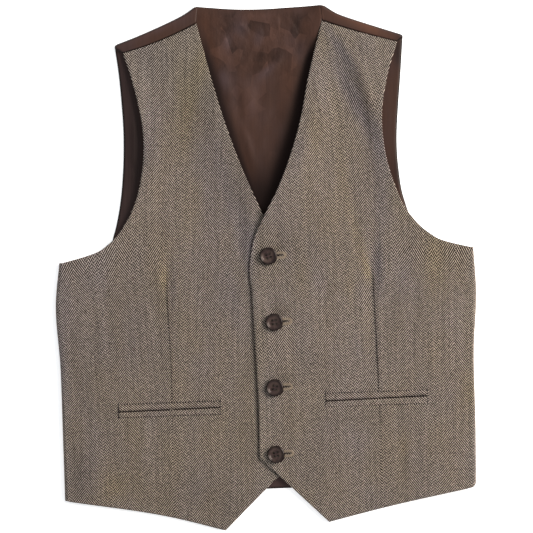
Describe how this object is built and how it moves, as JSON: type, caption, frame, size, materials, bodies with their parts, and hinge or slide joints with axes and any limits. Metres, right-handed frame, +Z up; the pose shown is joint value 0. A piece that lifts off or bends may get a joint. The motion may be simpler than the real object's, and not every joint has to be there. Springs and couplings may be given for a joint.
{
  "type": "suit waistcoat",
  "caption": "Boy's herringbone tweed suit waistcoat with a satin back, V neck, jetted pockets and pointed hem, buttoned and laid flat with its shoulders folded over.",
  "frame": {"origin": "on the surface that the waistcoat lies on, under the middle of its outline", "axes": "+X to the wearer's left, +Y from hem to neck, +Z up out of the front, away from the surface"},
  "size_m": [0.36, 0.45, 0.0094],
  "materials": {
    "tweed": "grey-brown wool herringbone twill, matt with a slight nap",
    "satin": "dark brown lining satin with a soft sheen",
    "button": "dark brown horn-like resin, polished"
  },
  "bodies": {
    "root": {"back": "satin", "front_right": "tweed", "front_left": "tweed", "pocket_right_upper_lip": "tweed", "pocket_right_lower_lip": "tweed", "pocket_left_upper_lip": "tweed", "pocket_left_lower_lip": "tweed", "button_1": "button", "button_2": "button", "button_3": "button", "button_4": "button"}
  },
  "joints": []
}
